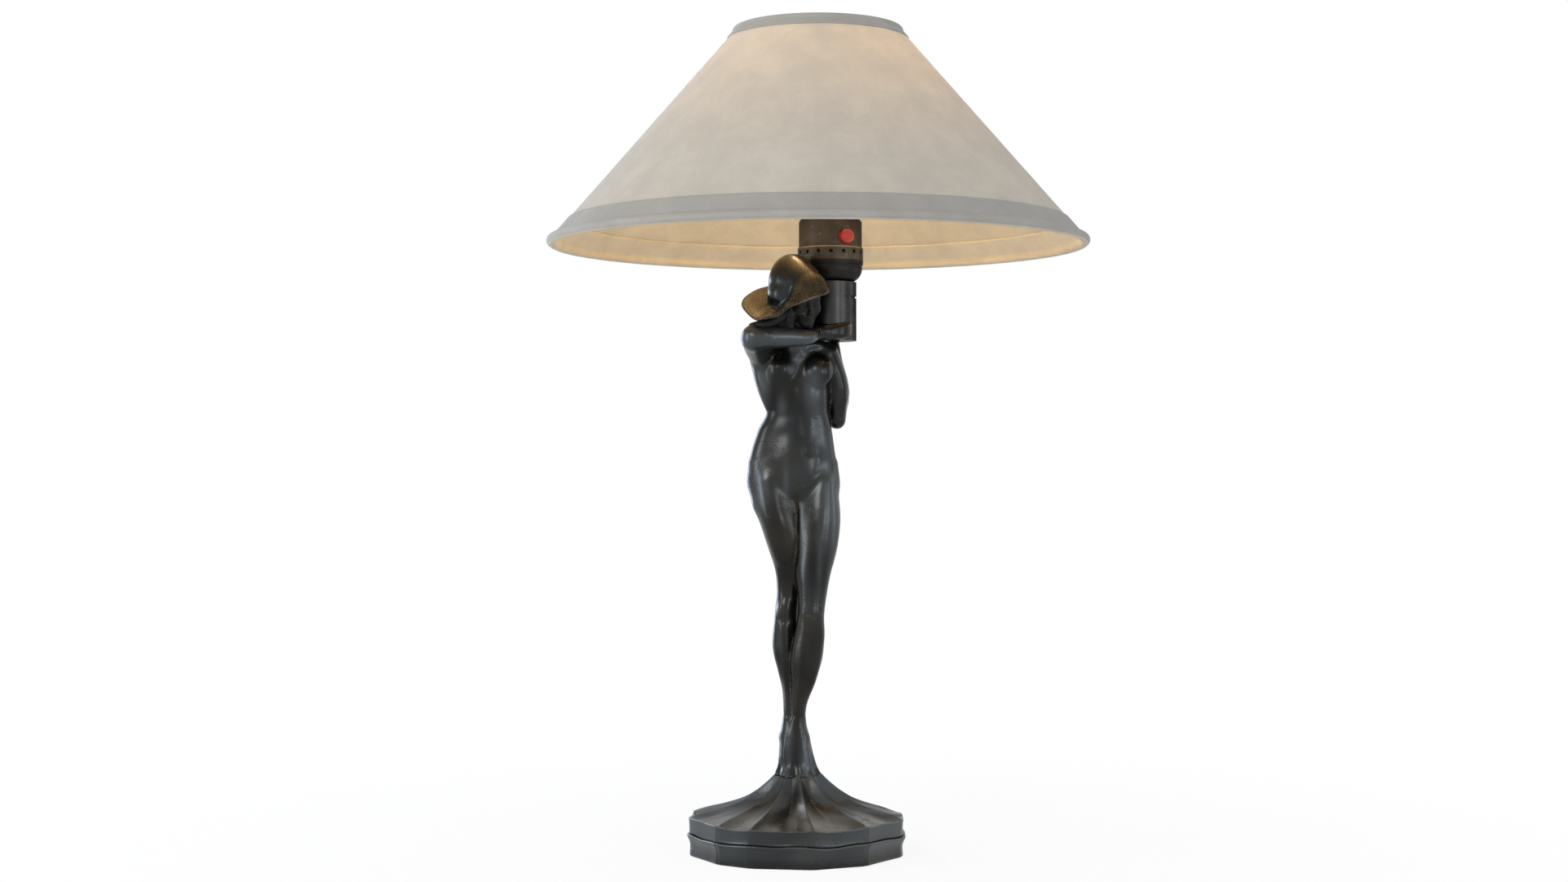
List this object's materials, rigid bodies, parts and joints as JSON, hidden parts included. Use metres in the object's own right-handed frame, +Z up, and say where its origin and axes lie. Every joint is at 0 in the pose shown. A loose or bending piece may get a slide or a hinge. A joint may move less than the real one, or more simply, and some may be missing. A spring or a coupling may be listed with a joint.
{
  "type": "figural table lamp",
  "caption": "Table lamp whose bronze figure in a floppy hat stands on a fluted foot and holds a push-through socket with a wide cone shade.",
  "frame": {"origin": "centre of the foot's underside, on the surface that the lamp stands on", "axes": "+Z up along the lamp's height; the figure faces -Y; +X is to the right of a viewer in front"},
  "size_m": [0.3194, 0.3194, 0.4857],
  "materials": {
    "bronze": "dark patinated bronze with green in the hollows",
    "column_bronze": "dark bronzed, satin",
    "socket_brass": "antique bronzed, scratched",
    "steel": "zinc plated",
    "wire_steel": "plated wire",
    "felt": "green felt",
    "board": "pressed board",
    "fibre": "insulating fibre",
    "moulding": "black phenolic",
    "contact_brass": "bright",
    "rod_plastic": "moulded",
    "red_button": "red, slightly worn",
    "dark_button": "near black",
    "bulb_insulator": "black vitreous insulator with a solder tip",
    "bulb_metal": "threaded cap",
    "bulb_glass": "frosted inside",
    "bulb_light": "stem with the glowing filament",
    "shade_sheet": "off-white fabric on a stiff backing",
    "shade_bands": "folded double, greyer"
  },
  "bodies": {
    "lamp": {"foot_plinth": "bronze", "skirt_flare": "bronze", "figure_body": "bronze", "figure_head": "bronze", "hat": "bronze", "right_arm": "bronze", "left_arm": "bronze", "lamp_cup": "column_bronze", "cup_collar": "column_bronze", "socket_cap": "socket_brass", "socket_shell": "socket_brass", "base_stud": "steel", "base_washer": "steel", "base_nut": "steel", "cup_set_screw": "steel", "pipe_nipple": "steel", "lock_washer": "steel", "pipe_locknut": "steel", "terminal_screws": "steel", "felt_pad": "felt", "base_board": "board", "socket_liner": "fibre", "switch_housing": "moulding", "cord_bushing": "moulding", "screw_shell": "contact_brass", "centre_contact": "contact_brass"},
    "switch": {"switch_rod": "rod_plastic", "switch_button": "red_button", "rear_button": "dark_button"},
    "bulb_foot": {"bulb_contact": "bulb_insulator"},
    "bulb": {"bulb_cap": "bulb_metal", "bulb_glass": "bulb_glass", "bulb_stem": "bulb_light"},
    "shade": {"shade_panel": "shade_sheet", "top_trim": "shade_bands", "bottom_hem": "shade_bands", "top_wire": "wire_steel", "bottom_wire": "wire_steel", "shade_fitter": "wire_steel"},
    "shade_ring": {"retaining_ring": "socket_brass"}
  },
  "joints": [
    {"name": "switch_push", "type": "slide", "parent": "lamp", "child": "switch", "axis": [-0.4462, 0.8949, 0], "range_m": [0, 0.004]},
    {"name": "bulb_rise", "type": "slide", "parent": "lamp", "child": "bulb_foot", "axis": [0, 0, 1], "range_m": [0, 0.018]},
    {"name": "bulb_turn", "type": "hinge", "parent": "bulb_foot", "child": "bulb", "pos_m": [0.0204, 0.006, 0.38], "axis": [0, 0, 1], "range_deg": [0, 1785]},
    {"name": "shade_swivel", "type": "hinge", "parent": "lamp", "child": "shade", "pos_m": [0.0204, 0.006, 0.38], "axis": [0, 0, 1], "continuous": true},
    {"name": "shade_ring_turn", "type": "hinge", "parent": "lamp", "child": "shade_ring", "pos_m": [0.0204, 0.006, 0.38], "axis": [0, 0, 1], "range_deg": [0, 360]}
  ],
  "couplings": [
    {"joint": "bulb_rise", "follows": "bulb_turn", "m_per_rad": 0.00057757}
  ]
}
